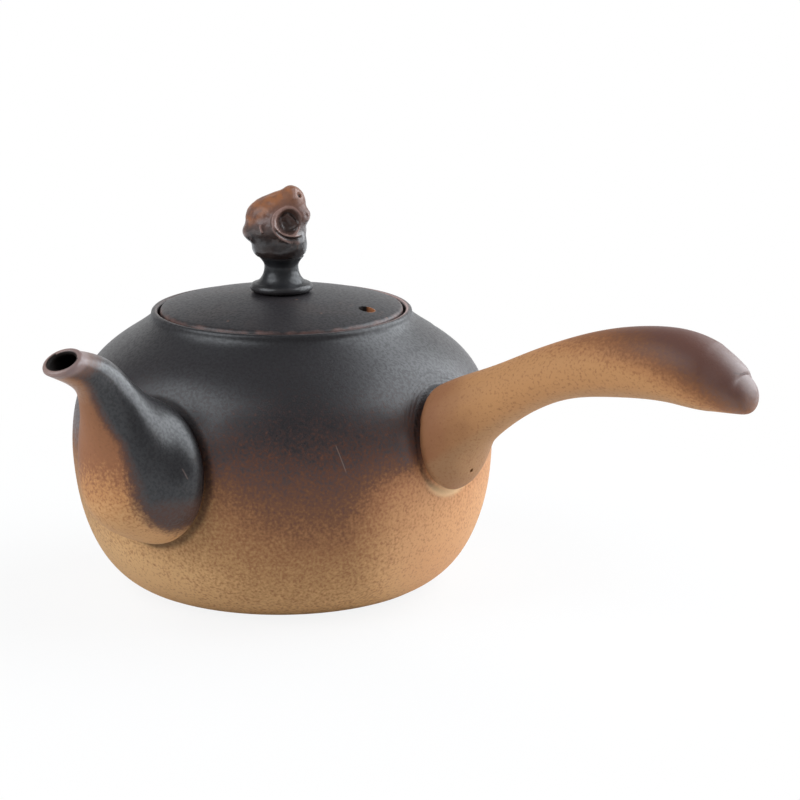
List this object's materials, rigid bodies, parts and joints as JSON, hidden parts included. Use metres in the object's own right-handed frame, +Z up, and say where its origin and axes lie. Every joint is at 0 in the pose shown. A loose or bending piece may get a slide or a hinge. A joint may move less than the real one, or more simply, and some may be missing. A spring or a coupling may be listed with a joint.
{
  "type": "clay tea kettle",
  "caption": "Side-handled clay tea kettle: squat round bowl, short swan-neck spout, hollow bent handle, and a lift-off domed lid with a waisted knob and scroll-shaped finial.",
  "frame": {"origin": "centre of the flat base, where the kettle rests", "axes": "+Z up along the bowl's axis, handle out along +X, spout out along -Y"},
  "size_m": [0.2583, 0.1887, 0.1381],
  "materials": {
    "charcoal_to_tan_clay": "satin",
    "charcoal_clay": "satin",
    "russet_clay": "satin",
    "tan_clay": "matte",
    "raw_clay": "matte"
  },
  "bodies": {
    "kettle": {"bowl": "charcoal_to_tan_clay", "spout": "charcoal_to_tan_clay", "strainer_dome": "raw_clay", "handle": "tan_clay"},
    "lid": {"lid_disc": "charcoal_clay", "lid_flange": "raw_clay", "knob_pedestal": "charcoal_clay", "knob_finial": "russet_clay"}
  },
  "joints": [
    {"name": "lid_lift", "type": "slide", "parent": "kettle", "child": "lid", "axis": [0, 0, 1], "range_m": [0, 0.08]}
  ]
}
